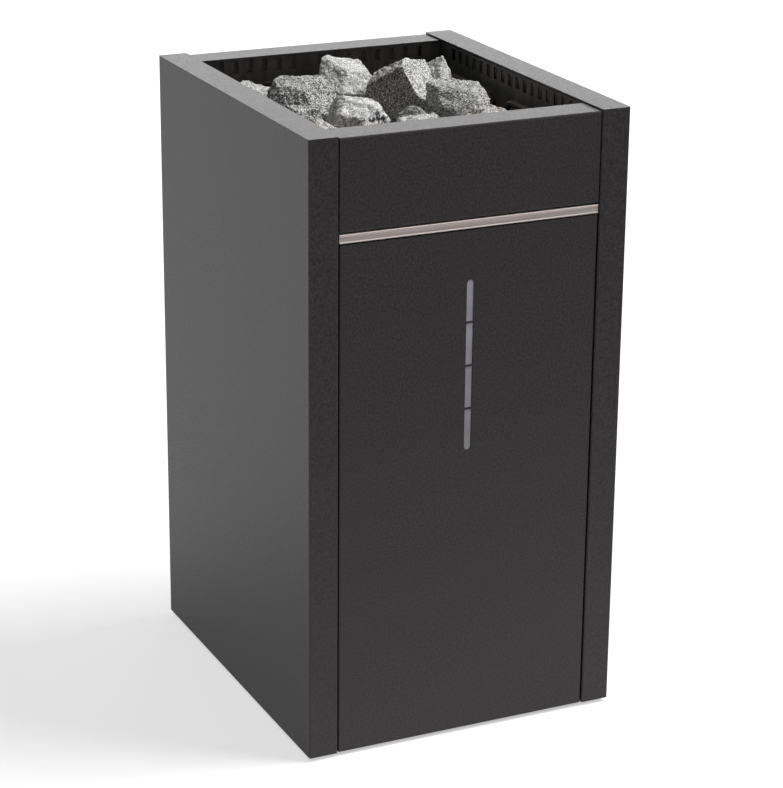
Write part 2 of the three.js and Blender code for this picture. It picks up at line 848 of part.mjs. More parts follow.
// Heating elements, each a double loop of tube that stands on a bar
function sideBar(side) {
  const x = side * sideElementX;
  const outline = rectangle(
    x - barWidth / 2,
    x + barWidth / 2,
    plateFront + contactGap,
    plateRear - contactGap,
  );
  for (const y of [-sideElementHalfSpan, sideElementHalfSpan]) {
    const hole = ringPoints(x, y, threadRadius + threadClearance, footSides).reverse();
    outline.holes.push(new THREE.Path(hole));
  }
  return upright(outline, barBottom, barTop);
}

function rearBar() {
  const half = plateHalfWidth - contactGap;
  const y = rearElementY;
  const outline = rectangle(-half, half, y - barWidth / 2, y + barWidth / 2);
  for (const x of [-rearElementHalfSpan, rearElementHalfSpan]) {
    const hole = ringPoints(x, y, threadRadius + threadClearance, footSides).reverse();
    outline.holes.push(new THREE.Path(hole));
  }
  return upright(outline, rearBarBottom, rearBarBottom + barThickness);
}

// Made along X in the plane Y = 0, with its fittings standing on a bar whose top is barSurface.
function heatingElement(halfSpan, barSurface) {
  const collarBottom = barSurface + contactGap;
  const legStart = collarBottom + collarHeight / 2;
  const corner = (x, z) => new THREE.Vector3(x, 0, z);
  const half = [
    corner(-halfSpan, legStart),
    corner(-halfSpan, elementTop),
    corner(-elementLegHalf, elementTop),
    corner(-elementLegHalf, elementLoopBottom + elementLegHalf),
  ];
  const outer = wireStations(half, elementBend, elementBendSteps);
  const lower = [];
  for (let k = 1; k < 2 * elementBendSteps; k += 1) {
    const angle = Math.PI + (Math.PI * k) / (2 * elementBendSteps);
    const x = elementLegHalf * Math.cos(angle);
    lower.push(corner(x, elementLoopBottom + elementLegHalf * (1 + Math.sin(angle))));
  }
  const mirrored = outer.map((p) => corner(-p.x, p.z)).reverse();
  const pieces = [];
  for (const x of [-halfSpan, halfSpan]) {
    const threadBottom = collarBottom - threadLength;
    const pinBottom = threadBottom - pinLength;
    pieces.push(post(x, 0, collarRadius, collarBottom, collarBottom + collarHeight, 6));
    pieces.push(post(x, 0, threadRadius, threadBottom, collarBottom + 1, footSides));
    pieces.push(post(x, 0, pinRadius, pinBottom, threadBottom + 1, elementSides));
  }
  return join(tube([...outer, ...lower, ...mirrored], elementRadius, elementSides), ...pieces);
}

function sideElement(side) {
  const turned90 = heatingElement(sideElementHalfSpan, barTop).rotate([0, 0, 90]);
  return turned90.translate([side * sideElementX, 0, 0]);
}

function rearElement() {
  const element = heatingElement(rearElementHalfSpan, rearBarBottom + barThickness);
  return element.translate([0, rearElementY, 0]);
}

// Connection box with the terminals and the overheat limiter
function terminalBox() {
  const outside = block(boxLeft, boxRight, boxFront, boxRear, boxBottom, boxTop);
  const inside = block(
    boxLeft + boxWall,
    boxRight - boxWall,
    boxFront - boxWall,
    boxRear - boxWall,
    boxBottom + boxWall,
    boxTop - boxWall,
  );
  const y0 = boxRear - 2 * boxWall;
  const y1 = boxRear + boxWall;
  const glandHole = pegAlongDepth(glandX, glandZ, glandThread + contactGap, y0, y1, roundSides);
  const capillaryY = boxFront + capillaryFromFront;
  const z0 = boxTop - 2 * boxWall;
  const z1 = boxTop + boxWall;
  const outlet = post(limiterX, capillaryY, capillaryHole, z0, z1, footSides);
  return cut(outside, inside, glandHole, outlet);
}

function terminalBoxCover() {
  const rear = boxFront - contactGap;
  const outline = rectangle(boxLeft, boxRight, boxBottom, boxTop);
  const z = limiterBottom + limiterSize / 2;
  const hole = ringPoints(limiterX, z, neckRadius + neckClearance, footSides).reverse();
  outline.holes.push(new THREE.Path(hole));
  return acrossDepth(outline, rear - coverSheet, rear);
}

function terminalBlock() {
  const x0 = boxLeft + blockFromSide;
  const y0 = boxFront + blockFromFront;
  const z0 = boxBottom + boxWall + contactGap;
  const body = block(x0, x0 + blockLength, y0, y0 + blockDepth, z0, z0 + blockHeight);
  const wells = [];
  const pitch = blockLength / poleCount;
  for (let i = 0; i < poleCount; i += 1) {
    const x = x0 + (i + 0.5) * pitch;
    const bottom = z0 + blockHeight - poleWellDepth;
    const top = z0 + blockHeight + 1;
    wells.push(block(x - poleWell / 2, x + poleWell / 2, y0 - 1, y0 + blockDepth / 3, bottom, top));
  }
  return cut(body, ...wells);
}

function overheatLimiter() {
  const half = limiterSize / 2;
  const x = limiterX;
  const z = limiterBottom + half;
  const rear = limiterFront + limiterDepth;
  const body = block(x - half, x + half, limiterFront, rear, limiterBottom, limiterBottom + limiterSize);
  const neckFront = limiterFront - neckLength;
  const neck = pegAlongDepth(x, z, neckRadius, neckFront, limiterFront + 1, buttonSides);
  const boreRadius = buttonRadius + buttonClearance;
  const boreEnd = limiterFront + boreBehindNeck;
  const bore = pegAlongDepth(x, z, boreRadius, neckFront - 1, boreEnd, buttonSides);
  return cut(join(body, neck), bore);
}

function limiterButton() {
  const front = limiterFront - neckLength - buttonReach;
  const z = limiterBottom + limiterSize / 2;
  return pegAlongDepth(limiterX, z, buttonRadius, front, front + buttonLength, buttonSides);
}

function limiterCapillary() {
  const y = boxFront + capillaryFromFront;
  const x = (linerHalfWidth + linerSheet + plateHalfWidth) / 2;
  const corners = [
    new THREE.Vector3(limiterX, y, limiterBottom + limiterSize + contactGap),
    new THREE.Vector3(limiterX, y, capillaryTurnZ),
    new THREE.Vector3(x, y, capillaryTurnZ),
    new THREE.Vector3(x, y, bulbBottom + 1),
  ];
  const stations = wireStations(corners, capillaryBend, elementBendSteps);
  const line = tube(stations, capillaryRadius, 6);
  return join(line, post(x, y, bulbRadius, bulbBottom, bulbTop, elementSides));
}

function cableGland() {
  const inside = boxRear - boxWall - contactGap;
  const outside = boxRear + contactGap;
  const profile = [
    at(glandBore, 0),
    at(glandNut, 0),
    at(glandNut, glandNutLength),
    at(glandThread, glandNutLength),
    at(glandThread, glandNutLength + outside - inside),
    at(glandFlange, glandNutLength + outside - inside),
    at(glandFlange, glandLength),
    at(glandNut, glandLength + glandNutLength),
    at(glandBore, glandLength + glandNutLength),
    at(glandBore, 0),
  ];
  const ring = turned(profile, roundSides).rotateX(-Math.PI / 2);
  return solidOf(ring.translate(glandX, inside - glandNutLength, glandZ));
}

// Stones
function scatter(seed) {
  const wave = Math.sin(seed * 127.1 + 11.7) * 43758.5453;
  return wave - Math.floor(wave);
}

// Flat facets all round a stone, as planes at slightly uneven distances from its middle.
function rockPlanes(seed) {
  const goldenAngle = Math.PI * (3 - Math.sqrt(5));
  const planes = [];
  for (let i = 0; i < rockFacets; i += 1) {
    const level = 1 - (2 * (i + 0.5)) / rockFacets;
    const ring = Math.sqrt(1 - level * level);
    const turn = i * goldenAngle + seed;
    const normal = new THREE.Vector3(ring * Math.cos(turn), ring * Math.sin(turn), level);
    normal.x += rockTilt * (scatter(seed * 53 + i) - 0.5);
    normal.y += rockTilt * (scatter(seed * 71 + i) - 0.5);
    normal.z += rockTilt * (scatter(seed * 89 + i) - 0.5);
    const distance = 1 - rockRoughness * scatter(seed * 31 + i);
    planes.push(new THREE.Plane(normal.normalize(), -distance));
  }
  return planes;
}

function planesMeet(first, second, third) {
  const across = second.normal.clone().cross(third.normal);
  const volume = first.normal.dot(across);
  if (Math.abs(volume) < 1e-6) return null;
  const meeting = across.multiplyScalar(-first.constant);
  meeting.addScaledVector(third.normal.clone().cross(first.normal), -second.constant);
  meeting.addScaledVector(first.normal.clone().cross(second.normal), -third.constant);
  return meeting.divideScalar(volume);
}

// The space inside all of the planes.
function insideOf(planes) {
  const corners = [];
  for (let i = 0; i < planes.length; i += 1) {
    for (let j = i + 1; j < planes.length; j += 1) {
      for (let k = j + 1; k < planes.length; k += 1) {
        const corner = planesMeet(planes[i], planes[j], planes[k]);
        if (corner && planes.every((plane) => plane.distanceToPoint(corner) < 1e-6)) corners.push(corner);
      }
    }
  }
  return new ConvexGeometry(corners);
}

// A faceted stone of the given size, centred on the origin.
function rock(seed, length, width, height) {
  const stone = insideOf(rockPlanes(seed)).center();
  const size = stone.boundingBox.getSize(new THREE.Vector3());
  return stone.scale(length / size.x, width / size.y, height / size.z);
}

// The buried stones are one heap: a core with the upper layer of stones standing out of it.
function stoneBed() {
  const x1 = cageHalfWidth - heapCoreInset;
  const y0 = cageFront + heapCoreInset;
  const y1 = cageRear - heapCoreInset;
  const core = block(-x1, x1, y0, y1, grateTop + contactGap, heapCoreTop);
  const room = heapStone + heapJitter;
  const columns = Math.max(2, Math.round((2 * cageHalfWidth - room) / heapPitch) + 1);
  const rows = Math.max(2, Math.round((cageRear - cageFront - room) / heapPitch) + 1);
  const stones = [];
  for (let i = 0; i < columns; i += 1) {
    for (let j = 0; j < rows; j += 1) {
      const seed = i * 17 + j * 5 + 3;
      const x = -cageHalfWidth + room / 2 + ((2 * cageHalfWidth - room) * i) / (columns - 1);
      const y = cageFront + room / 2 + ((cageRear - cageFront - room) * j) / (rows - 1);
      const dx = (scatter(seed) - 0.5) * heapJitter;
      const dy = (scatter(seed + 1) - 0.5) * heapJitter;
      const dz = (scatter(seed + 2) - 0.5) * 2 * heapJitter;
      const stone = rock(seed, heapStone, heapStone, heapStone);
      stones.push(solidOf(stone.translate(x + dx, y + dy, heapLayer + dz)));
    }
  }
  return join(core, ...stones);
}

// Points, faces and edges of a solid, for finding how far one solid can sink onto another.
function facesOf(solid) {
  const geometry = geometryOf(solid);
  const position = geometry.attributes.position;
  const points = [];
  for (let i = 0; i < position.count; i += 1) {
    points.push(new THREE.Vector3().fromBufferAttribute(position, i));
  }
  const index = geometry.index.array;
  const faces = [];
  const edges = [];
  for (let i = 0; i < index.length; i += 3) {
    const corners = [index[i], index[i + 1], index[i + 2]];
    faces.push(corners.map((corner) => points[corner]));
    for (let k = 0; k < 3; k += 1) {
      const from = corners[k];
      const to = corners[(k + 1) % 3];
      if (from < to) edges.push([points[from], points[to]]);
    }
  }
  return { points, faces, edges };
}

function planCross(origin, first, second) {
  return (first.x - origin.x) * (second.y - origin.y) - (first.y - origin.y) * (second.x - origin.x);
}

// Height of a face above or below a point, or null where the point is beside it in plan.
function faceHeight(face, point) {
  const [a, b, c] = face;
  const whole = planCross(a, b, c);
  if (whole === 0) return null;
  const shareB = planCross(a, point, c) / whole;
  const shareC = planCross(a, b, point) / whole;
  if (shareB < 0 || shareC < 0 || shareB + shareC > 1) return null;
  return a.z + shareB * (b.z - a.z) + shareC * (c.z - a.z);
}

function leastDropOnFaces(points, faces, sign) {
  let least = Infinity;
  for (const point of points) {
    for (const face of faces) {
      const height = faceHeight(face, point);
      if (height !== null) least = Math.min(least, sign * (point.z - height));
    }
  }
  return least;
}

function leastDropOnEdges(upper, lower) {
  let least = Infinity;
  for (const [a, b] of upper) {
    for (const [c, d] of lower) {
      const startSide = planCross(c, d, a);
      const endSide = planCross(c, d, b);
      const lowStart = planCross(a, b, c);
      const lowEnd = planCross(a, b, d);
      if (startSide * endSide < 0 && lowStart * lowEnd < 0) {
        const high = a.z + ((b.z - a.z) * startSide) / (startSide - endSide);
        const low = c.z + ((d.z - c.z) * lowStart) / (lowStart - lowEnd);
        least = Math.min(least, high - low);
      }
    }
  }
  return least;
}

function roomBelow(upper, lower) {
  const onFaces = leastDropOnFaces(upper.points, lower.faces, 1);
  const underFaces = leastDropOnFaces(lower.points, upper.faces, -1);
  return Math.min(onFaces, underFaces, leastDropOnEdges(upper.edges, lower.edges));
}

// Facets that close a stone, by turn and tilt in degrees of the way they face, and distance as a share
// of the stone's reach behind or below its middle.
const facetsBehind = [
  [20, -5, 1],
  [70, 5, 0.95],
  [125, -5, 1],
];
const facetsBelow = [
  [45, -45, 1.05],
  [135, -45, 1.05],
  [-155, -40, 1.05],
  [-90, -45, 1],
  [-25, -40, 1.05],
  [0, -90, 1],
];

// Stones that show most, each by its own facets: turn, tilt, and distance in shares of the longest stone.
const ridgeStone = [
  [-150, 4, 0.36],
  [-48, 38, 0.31],
  [100, 60, 0.32],
  [-20, 20, 0.36],
  [165, 50, 0.38],
];
const tallStone = [
  [-150, 40, 0.28],
  [-75, 22, 0.28],
  [-60, 76, 0.29],
  [-10, 25, 0.37],
  [168, 10, 0.32],
];
const longStone = [
  [-168, 5, 0.36],
  [-112, 32, 0.27],
  [-45, 48, 0.27],
  [-60, 82, 0.26],
  [-20, 0, 0.42],
];
const broadStone = [
  [-138, 36, 0.36],
  [-55, 44, 0.32],
  [-110, 84, 0.36],
  [168, 36, 0.48],
  [-20, 40, 0.46],
];
const domeStone = [
  [-115, 58, 0.27],
  [-70, 78, 0.27],
  [-125, -5, 0.3],
  [-60, 10, 0.33],
  [170, 30, 0.3],
  [-25, 45, 0.31],
  [-165, 55, 0.3],
  [60, 60, 0.28],
];
const cornerStone = [
  [-150, 35, 0.15],
  [-50, 15, 0.14],
  [100, 60, 0.2],
  [-15, 25, 0.17],
  [165, 5, 0.15],
];
const splitStone = [
  [-172, 5, 0.17],
  [-75, 30, 0.19],
  [-100, 80, 0.19],
  [60, 60, 0.2],
  [-25, 10, 0.24],
];

// Top stones: place as shares of the cage's half width and half depth from its middle, then either
// facets with the reach of the closing ones, or a seed with size as shares of the longest stone.
const topStones = [
  { across: 0.4, along: 0.42, facets: ridgeStone, behind: 0.38, below: 0.37 },
  { across: 0.12, along: -0.19, length: 0.58, width: 0.54, height: 0.46, turn: 10, seed: 1 },
  { across: 0.33, along: -0.8, length: 0.62, width: 0.52, height: 0.46, turn: 40, seed: 3 },
  { across: -0.77, along: 0, facets: splitStone, behind: 0.24, below: 0.19 },
  { across: -0.78, along: -0.38, length: 0.42, width: 0.42, height: 0.4, turn: 25, seed: 4 },
  { across: -0.6, along: -0.7, length: 0.54, width: 0.5, height: 0.7, turn: 30, seed: 151 },
  { across: -0.02, along: -0.47, length: 0.66, width: 0.56, height: 0.62, turn: 120, seed: 88 },
  { across: 0.59, along: -0.5, length: 0.66, width: 0.58, height: 0.62, turn: 90, seed: 101 },
  { across: -0.88, along: 0.8, length: 0.6, width: 0.6, height: 0.48, turn: 30, seed: 99 },
  { across: 0.84, along: 0.66, facets: cornerStone, behind: 0.2, below: 0.36 },
  { across: -0.4, along: -0.2, facets: domeStone, behind: 0.32, below: 0.31 },
  { across: 0.58, along: -0.13, facets: longStone, behind: 0.34, below: 0.22 },
  { across: -0.54, along: 0.39, facets: broadStone, behind: 0.4, below: 0.23 },
  { across: 0.03, along: 0.78, facets: tallStone, behind: 0.27, below: 0.24 },
];

// A flat facet that faces the way given by its turn and tilt.
function facetPlane([turn, tilt, share], size) {
  const level = Math.cos(tilt * degree);
  const facing = new THREE.Vector3(
    level * Math.cos(turn * degree),
    level * Math.sin(turn * degree),
    Math.sin(tilt * degree),
  );
  return new THREE.Plane(facing, -share * size);
}

function cutStone(stone) {
  return insideOf([
    ...stone.facets.map((facet) => facetPlane(facet, stoneLength)),
    ...facetsBehind.map((facet) => facetPlane(facet, stone.behind * stoneLength)),
    ...facetsBelow.map((facet) => facetPlane(facet, stone.below * stoneLength)),
  ]);
}

function topStone(stone) {
  if (stone.facets) return cutStone(stone);
  const size = [stone.length, stone.width, stone.height].map((share) => share * stoneLength);
  return rock(stone.seed, ...size).rotateZ(stone.turn * degree);
}

// Each stone sinks straight down until it rests on the heap or on a stone placed before it.
function restingStones(bed) {
  const below = [facesOf(bed)];
  const cageMiddle = (cageFront + cageRear) / 2;
  const cageHalfDepth = (cageRear - cageFront) / 2;
  return topStones.map((stone) => {
    const shape = topStone(stone);
    shape.computeBoundingBox();
    const reach = shape.boundingBox.max.clone().max(shape.boundingBox.min.clone().negate());
    const roomX = cageHalfWidth - reach.x;
    const roomY = cageHalfDepth - reach.y;
    const x = THREE.MathUtils.clamp(stone.across * cageHalfWidth, -roomX, roomX);
    const y = cageMiddle + THREE.MathUtils.clamp(stone.along * cageHalfDepth, -roomY, roomY);
    const high = solidOf(shape.translate(x, y, dropHeight));
    const faces = facesOf(high);
    const drop = Math.min(...below.map((lower) => roomBelow(faces, lower)));
    const resting = high.translate([0, 0, stoneClearance - drop]);
    below.push(facesOf(resting));
    return resting;
  });
}

// Materials
function surface(color, roughness, metalness) {
  return new THREE.MeshStandardMaterial({ color, roughness, metalness });
}

const darkCoat = () => surface(0x3b3a3c, 0.5, 0.4);
const brightSteel = () => surface(0xb9b2ab, 0.3, 1);
const zincSteel = () => surface(0x9a9c9e, 0.45, 1);
const linerSteel = () => surface(0x4a4847, 0.5, 0.9);
const darkSteel = () => surface(0x35322e, 0.6, 0.9);
const elementSteel = () => surface(0x5d5340, 0.5, 1);
const blackPlastic = () => surface(0x1c1c1e, 0.6, 0);
const frosted = () => surface(0xb8b7c0, 0.5, 0);
const whiteCeramic = () => surface(0xe4dfd2, 0.5, 0);
const redPlastic = () => surface(0xa8281f, 0.4, 0);
const copper = () => surface(0xa8683f, 0.4, 1);
const boardWhite = () => surface(0xd8dad6, 0.6, 0);
const magnetBlack = () => surface(0x2a2a2c, 0.6, 0.2);
const stoneGrey = () => surface(0x85837f, 0.85, 0);

// Assembly
const heater = new THREE.Group();
heater.name = 'sauna_heater';

function group(name) {
  const branch = new THREE.Group();
  branch.name = name;
  heater.add(branch);
  return branch;
}

function add(branch, name, solid, material) {
  const mesh = new THREE.Mesh(geometryOf(solid), material);
  mesh.name = name;
  branch.add(mesh);
}

const casing = group('casing');
add(casing, 'left_side_panel', sidePanel(-1), darkCoat());
add(casing, 'right_side_panel', sidePanel(1), darkCoat());
add(casing, 'rear_panel', rearPanel(), darkCoat());
add(casing, 'front_fascia', frontFascia(), darkCoat());
add(casing, 'trim_strip', trimStrip(), brightSteel());
add(casing, 'front_rail', frontRail(), zincSteel());
add(casing, 'cable_grommet', cableGrommet(), blackPlastic());

const door = group('door');
add(door, 'front_door', frontDoor(), darkCoat());
add(door, 'light_diffuser', lightDiffuser(), frosted());
add(door, 'upper_hinge_pin', hingePin(upperArmZ), brightSteel());
add(door, 'lower_hinge_pin', hingePin(lowerArmZ), brightSteel());

const frame = group('frame');
add(frame, 'base_plate', basePlate(), zincSteel());
add(frame, 'front_inner_plate', frontInnerPlate(), zincSteel());
add(frame, 'rear_inner_plate', rearInnerPlate(), zincSteel());
add(frame, 'left_inner_plate', sideInnerPlate(-1), zincSteel());
add(frame, 'right_inner_plate', sideInnerPlate(1), zincSteel());
add(frame, 'upper_hinge_bracket', upperHingeBracket(), zincSteel());
add(frame, 'lower_hinge_bracket', lowerHingeBracket(), zincSteel());
add(frame, 'catch_magnet', catchMagnet(), magnetBlack());
add(frame, 'light_housing', lightHousing(), zincSteel());
add(frame, 'light_board', lightBoard(), boardWhite());

const footNames = ['foot_front_left', 'foot_front_right', 'foot_rear_left', 'foot_rear_right'];
footPlaces().forEach((place, i) => add(frame, footNames[i], levellingFoot(place), darkSteel()));

const stoneSpace = group('stone_space');
add(stoneSpace, 'liner_front', linerAcross(linerFront - linerSheet), linerSteel());
add(stoneSpace, 'liner_rear', linerAcross(linerRear), linerSteel());
add(stoneSpace, 'liner_left', linerAlong(-linerHalfWidth - linerSheet), linerSteel());
add(stoneSpace, 'liner_right', linerAlong(linerHalfWidth), linerSteel());
add(stoneSpace, 'stone_grate', stoneGrate(), darkSteel());
add(stoneSpace, 'grate_rail_left', grateRail(-1), zincSteel());
add(stoneSpace, 'grate_rail_right', grateRail(1), zincSteel());

const electrics = group('electrics');
add(electrics, 'element_bar_left', sideBar(-1), zincSteel());
add(electrics, 'element_bar_right', sideBar(1), zincSteel());
add(electrics, 'element_bar_rear', rearBar(), zincSteel());
add(electrics, 'heating_element_left', sideElement(-1), elementSteel());
add(electrics, 'heating_element_right', sideElement(1), elementSteel());
add(electrics, 'heating_element_rear', rearElement(), elementSteel());
add(electrics, 'terminal_box', terminalBox(), zincSteel());
add(electrics, 'terminal_box_cover', terminalBoxCover(), zincSteel());
add(electrics, 'terminal_block', terminalBlock(), whiteCeramic());
add(electrics, 'overheat_limiter', overheatLimiter(), blackPlastic());
add(electrics, 'limiter_button', limiterButton(), redPlastic());
add(electrics, 'limiter_capillary', limiterCapillary(), copper());
add(electrics, 'cable_gland', cableGland(), blackPlastic());

const stones = group('stones');
const bed = stoneBed();
add(stones, 'stone_bed', bed, stoneGrey());
restingStones(bed).forEach((stone, i) => {
  const number = String(i + 1).padStart(2, '0');
  add(stones, `top_stone_${number}`, stone, stoneGrey());
});

export default heater;
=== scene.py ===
"""Looks of the sauna heater stove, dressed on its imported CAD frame."""
import json
import math

import bpy
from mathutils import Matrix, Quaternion, Vector, noise


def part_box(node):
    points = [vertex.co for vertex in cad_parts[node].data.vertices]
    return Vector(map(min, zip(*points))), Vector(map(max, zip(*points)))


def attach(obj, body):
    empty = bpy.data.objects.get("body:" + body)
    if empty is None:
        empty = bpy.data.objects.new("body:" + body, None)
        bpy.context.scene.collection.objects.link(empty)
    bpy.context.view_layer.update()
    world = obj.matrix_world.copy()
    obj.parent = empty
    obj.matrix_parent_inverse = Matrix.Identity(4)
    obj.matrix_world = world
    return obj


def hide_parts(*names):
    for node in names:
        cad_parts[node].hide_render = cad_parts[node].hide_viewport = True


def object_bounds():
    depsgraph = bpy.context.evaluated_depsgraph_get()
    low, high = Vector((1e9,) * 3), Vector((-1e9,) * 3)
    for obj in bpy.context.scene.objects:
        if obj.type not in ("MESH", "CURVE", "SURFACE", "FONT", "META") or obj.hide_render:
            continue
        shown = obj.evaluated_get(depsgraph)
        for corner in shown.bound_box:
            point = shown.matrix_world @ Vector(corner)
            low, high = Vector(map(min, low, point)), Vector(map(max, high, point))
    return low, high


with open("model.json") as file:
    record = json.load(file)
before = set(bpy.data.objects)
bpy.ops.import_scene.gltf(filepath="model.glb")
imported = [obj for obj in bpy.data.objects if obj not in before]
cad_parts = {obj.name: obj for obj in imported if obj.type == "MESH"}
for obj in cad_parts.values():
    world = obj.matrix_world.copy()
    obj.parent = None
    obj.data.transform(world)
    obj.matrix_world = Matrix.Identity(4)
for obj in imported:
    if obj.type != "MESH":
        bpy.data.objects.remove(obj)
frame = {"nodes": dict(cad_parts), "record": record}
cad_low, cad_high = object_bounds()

scene = bpy.context.scene
nodes = frame["nodes"]
slot_of_node = {row["node"]: row["material_slot"] for row in frame["record"]["subparts"]}
MM = 0.001
WHITE = (1.0, 1.0, 1.0)

# Camera, from the edges of the casing in the photograph; angles in degrees
PHOTO_HEIGHT = 788
FOCAL_PIXELS = 2592.3
SENSOR = 36.0
CAMERA_AZIMUTH = -25.245
CAMERA_ELEVATION = 19.631
CAMERA_ROLL = 0.547
CAMERA_DISTANCE = 3.2081
CAMERA_TARGET = Vector((0.0113, 0.0, 0.3535))

# Light
KEY_PLACE = (0.85, -0.3, 1.2)
KEY_WIDTH_DEGREES = 30
KEY_STRENGTH = 3.6
BACK_PLACE = (1.6, 3.4, 1.7)
BACK_AIM = (0, 0, 0.7)
BACK_SIZE = (3.6, 1.4)
BACK_POWER = 45
SURROUND_TINT = (1.0, 0.99, 0.97)
SURROUND_STRENGTH = 0.13

# Floor: its glow to the eye and in reflections, and its colours
FLOOR_SIZE = 40
FLOOR_GLOW = 0.68
MIRRORED_GLOW = 0.50
FLOOR_CLOUD = 400 * MM
PALE_FLOOR = ((0.80, 0.80, 0.80), (0.82, 0.82, 0.82))
MIRRORED_FLOOR = (0.6, 0.6, 0.6)
SEEN_FLOOR = (0.42, 0.42, 0.42)
DIM_FLOOR = (0.05, 0.05, 0.05)

# Floor: where its mirror image starts and ends to dim, and the soft edge of the shadow painted under the
# casing
BRIGHT_FLOOR_Y = -0.45
FRONT_ROOM_Y = -2.0
PAINTED_SHADOW_EDGE = 30 * MM

# Shapes of the stones
TOP_STONE_COUNT = 14
STONE_VOXEL = 1.5 * MM
HEAP_VOXEL = 2.8 * MM
WELD_GAP = 0.01 * MM
WORN_EDGE = 1.8 * MM
DENT_WIDTH = 30 * MM
DENT_DEPTH = 1.5 * MM
BREAK_WIDTH = 15 * MM
BREAK_DEPTH = 3.0 * MM
BREAK_OCTAVES = 3
BREAK_MIDDLE = 0.55
CHIP_WIDTH = 5.5 * MM
CHIP_DEPTH = 0.8 * MM
GRAIN_WIDTH = 2.6 * MM
GRAIN_DEPTH = 0.4 * MM

# Chunks of the heap: their size, how far they sink, and the seams between them
CHUNK = 58 * MM
CHUNK_SHUFFLE = 7.3
CHUNK_SINK = 5 * MM
SEAM_SHARE = 0.15
SEAM_DEPTH = 10 * MM

# Rock: sizes of its crystals, of the finer salt and grain, and of its broad patches
CRYSTAL = 1.35 * MM
CRYSTAL_WANDER = 1.0 * MM
CRYSTAL_BEND = 0.9 * MM
ROCK_SALT = 1.5 * MM
ROCK_GRAIN = 1.8 * MM
ROCK_GRAIN_DEPTH = 1.8 * MM
ROCK_PATCH = 16 * MM
ROCK_PATCH_SHARE = 0.9
LARGEST_KIND = 1.5

# Rock: dark, middle and light crystals of each kind, and the places of the three in the mix
DARK_PLACE = 0.47
MIDDLE_PLACE = 0.61
LIGHT_PLACE = 0.78
BRIGHT_ROCK = ((0.42, 0.42, 0.42), (0.80, 0.80, 0.79), (0.94, 0.94, 0.93))
ROCKS = {
    "grey_stone": ((0.22, 0.22, 0.22), (0.56, 0.56, 0.552), (0.82, 0.82, 0.81)),
    "pink_stone": ((0.33, 0.308, 0.291), (0.74, 0.697, 0.662), (0.94, 0.899, 0.864)),
    "dark_stone": ((0.07, 0.07, 0.071), (0.24, 0.24, 0.24), (0.50, 0.50, 0.49)),
    "dull_stone": ((0.09, 0.09, 0.09), (0.38, 0.38, 0.375), (0.76, 0.76, 0.75)),
    "plain_stone": ((0.15, 0.15, 0.15), (0.44, 0.44, 0.434), (0.76, 0.76, 0.75)),
    "bright_stone": BRIGHT_ROCK,
    "stain_and_shade_stone": ((0.20, 0.20, 0.20), (0.74, 0.74, 0.735), (0.95, 0.95, 0.945)),
    "shade_patched_stone": BRIGHT_ROCK,
}

# Rock: how far the dark salt covers the crystals, and the part of its noise that it rises over
SALT_COVER = 0.85
SALT_START = 0.50
SALT_END = 0.64

# Rock: the side of a stone darkened as painted shade, with a brown stain on one: the way it looks, its
# tint and the size of its patches
STAIN_AND_SHADE_SIDES = {
    # Stone 1's side away from the key light: browned as a stain and darkened as painted shade
    "stain_and_shade_stone": ((-0.87, -0.48, 0.07), (0.40, 0.355, 0.316), 2.2 * MM),
    # Stone 11's lower front: dark patches as painted shade of its hollows
    "shade_patched_stone": ((0.5, -0.8, -0.2), (0.10, 0.10, 0.105), 5 * MM),
}

# Rock: how nearly a face has to look that way, and the part of the noise that the patches rise over
SIDE_START = 0.4
SIDE_END = 0.75
PATCH_LEAST = 0.1
PATCH_START = 0.44
PATCH_END = 0.54

# Rock of the top stones that aren't grey, by number
ROCK_OF_STONE = {
    1: "stain_and_shade_stone",
    2: "dark_stone",
    4: "dull_stone",
    5: "pink_stone",
    6: "pink_stone",
    7: "bright_stone",
    8: "pink_stone",
    10: "bright_stone",
    11: "shade_patched_stone",
    12: "plain_stone",
    13: "dull_stone",
    14: "bright_stone",
}

# Plates behind the liner's slots, given a darker zinc as painted shade seen through the slots
SHADE_DARKENED_PLATES = ("rear_inner_plate", "left_inner_plate", "right_inner_plate")

# Screws of the connection box's cover: radius and height of each ring of the head, and the socket
SCREW_SIDES = 24
SCREW_HEAD = ((3.4 * MM, -0.1 * MM), (3.4 * MM, 0.5 * MM), (3.0 * MM, 1.3 * MM), (2.1 * MM, 1.9 * MM))
SOCKET_RADIUS = 1.8 * MM
SOCKET_FLOOR = 0.7 * MM
SCREW_INSET = 8 * MM

# How far the roughness of a mottled surface swings to both sides
ROUGHNESS_SWING = 0.06

# Sockets of a Mix node that mixes colours
MIX_SHARE = 0
MIX_FIRST = 6
MIX_SECOND = 7
MIX_RESULT = 2


# Helpers for materials
def new_surface(name):
    surface = bpy.data.materials.new(name)
    surface.use_nodes = True
    tree = surface.node_tree
    return surface, tree, tree.nodes["Principled BSDF"]


def set_inputs(node, **values):
    for name, value in values.items():
        node.inputs[name.replace("_", " ")].default_value = value


def feed(tree, value, socket):
    """Links an output to a socket, or sets the socket to a number or a colour."""
    if isinstance(value, bpy.types.NodeSocket):
        tree.links.new(value, socket)
    elif isinstance(value, tuple):
        socket.default_value = (*value, 1)
    else:
        socket.default_value = value


def result_of(tree, operation, *values):
    """The result of a Math node on outputs or numbers."""
    node = tree.nodes.new("ShaderNodeMath")
    node.operation = operation
    for value, socket in zip(values, node.inputs):
        feed(tree, value, socket)
    return node.outputs[0]


def piece_place(tree, stretch=None):
    """Coordinates in metres that ride with the piece, stretched along its axes if asked."""
    place = tree.nodes.new("ShaderNodeTexCoord").outputs["Object"]
    if stretch is None:
        return place
    scaled = tree.nodes.new("ShaderNodeVectorMath")
    scaled.operation = "MULTIPLY"
    scaled.inputs[1].default_value = stretch
    tree.links.new(place, scaled.inputs[0])
    return scaled.outputs[0]


def piece_axis(tree, axis):
    """One of the coordinates that ride with the piece."""
    separate = tree.nodes.new("ShaderNodeSeparateXYZ")
    tree.links.new(piece_place(tree), separate.inputs[0])
    return separate.outputs[axis]


